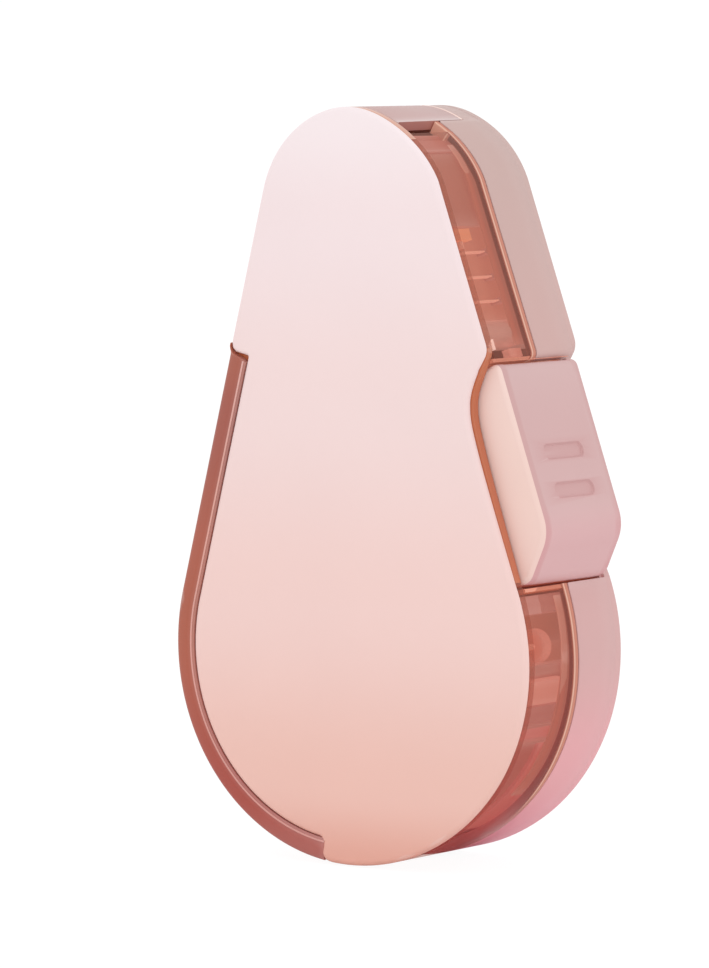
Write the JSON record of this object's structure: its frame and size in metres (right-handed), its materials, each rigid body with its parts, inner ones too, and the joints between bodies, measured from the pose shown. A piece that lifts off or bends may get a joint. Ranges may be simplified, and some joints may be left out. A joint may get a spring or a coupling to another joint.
{
  "type": "correction tape roller",
  "caption": "Teardrop correction tape roller with a side press button that slides the tape head out through a shuttered mouth.",
  "frame": {"origin": "centre of the wide round end on the flat back face", "axes": "+Z along the long axis towards the narrow end with the tape head, +Y out of the back face, so the front faces -Y, +X towards the press button"},
  "size_m": [0.0434, 0.0171, 0.0749],
  "materials": {
    "cover_plastic": "soft-touch matte, fading from near white at the narrow end to salmon pink at the wide end",
    "clear_plastic": "transparent rose-tinted plastic",
    "shell_plastic": "satin dusty pink",
    "button_plastic": "satin dusty pink",
    "shutter_plastic": "satin dusty pink",
    "pin_steel": "bright steel",
    "spring_steel": "spring wire",
    "core_plastic": "moulded pink plastic",
    "head_plastic": "natural white low-friction plastic",
    "gear_plastic": "natural white low-friction plastic",
    "reel_plastic": "moulded pale pink plastic",
    "clutch_rubber": "dark friction ring",
    "tape_white": "white correction film on its liner",
    "liner_paper": "glassine liner"
  },
  "bodies": {
    "housing": {"front_cover": "cover_plastic", "clear_housing": "clear_plastic", "back_cover": "shell_plastic", "button_pin": "pin_steel", "shutter_pin": "pin_steel"},
    "button": {"press_button": "button_plastic"},
    "core": {"core_frame": "core_plastic", "core_bridge": "core_plastic", "applicator_head": "head_plastic", "reel_cap": "core_plastic", "tape_run": "tape_white", "liner_run": "liner_paper", "return_spring": "spring_steel"},
    "supply_drive": {"supply_gear": "gear_plastic", "clutch_ring": "clutch_rubber"},
    "supply_spool": {"supply_reel": "reel_plastic", "tape_roll": "tape_white"},
    "takeup_spool": {"takeup_gear": "gear_plastic", "takeup_reel": "reel_plastic", "liner_roll": "liner_paper"},
    "shutter": {"head_shutter": "shutter_plastic"}
  },
  "joints": [
    {"name": "button_press", "type": "hinge", "parent": "housing", "child": "button", "pos_m": [0.0125, 0, 0.0314], "axis": [0, 1, 0], "range_deg": [0, 12]},
    {"name": "core_slide", "type": "slide", "parent": "housing", "child": "core", "axis": [0, 0, 1], "range_m": [0, 0.007], "deforming": ["return_spring"]},
    {"name": "shutter_swing", "type": "hinge", "parent": "housing", "child": "shutter", "pos_m": [-0.00617, 0, 0.05045], "axis": [0, -1, 0], "range_deg": [0, 95]},
    {"name": "supply_spin", "type": "hinge", "parent": "core", "child": "supply_drive", "pos_m": [-0.0035, 0, -0.003], "axis": [0, 1, 0], "continuous": true},
    {"name": "takeup_spin", "type": "hinge", "parent": "core", "child": "takeup_spool", "pos_m": [-0.001, 0, 0.01573], "axis": [0, 1, 0], "continuous": true},
    {"name": "clutch_slip", "type": "hinge", "parent": "supply_drive", "child": "supply_spool", "pos_m": [-0.0035, 0, -0.003], "axis": [0, 1, 0], "continuous": true}
  ],
  "couplings": [
    {"joint": "button_press", "follows": "core_slide", "rad_per_m": 29.92},
    {"joint": "shutter_swing", "follows": "core_slide", "rad_per_m": 236.87},
    {"joint": "takeup_spin", "follows": "supply_spin", "ratio": -2}
  ]
}
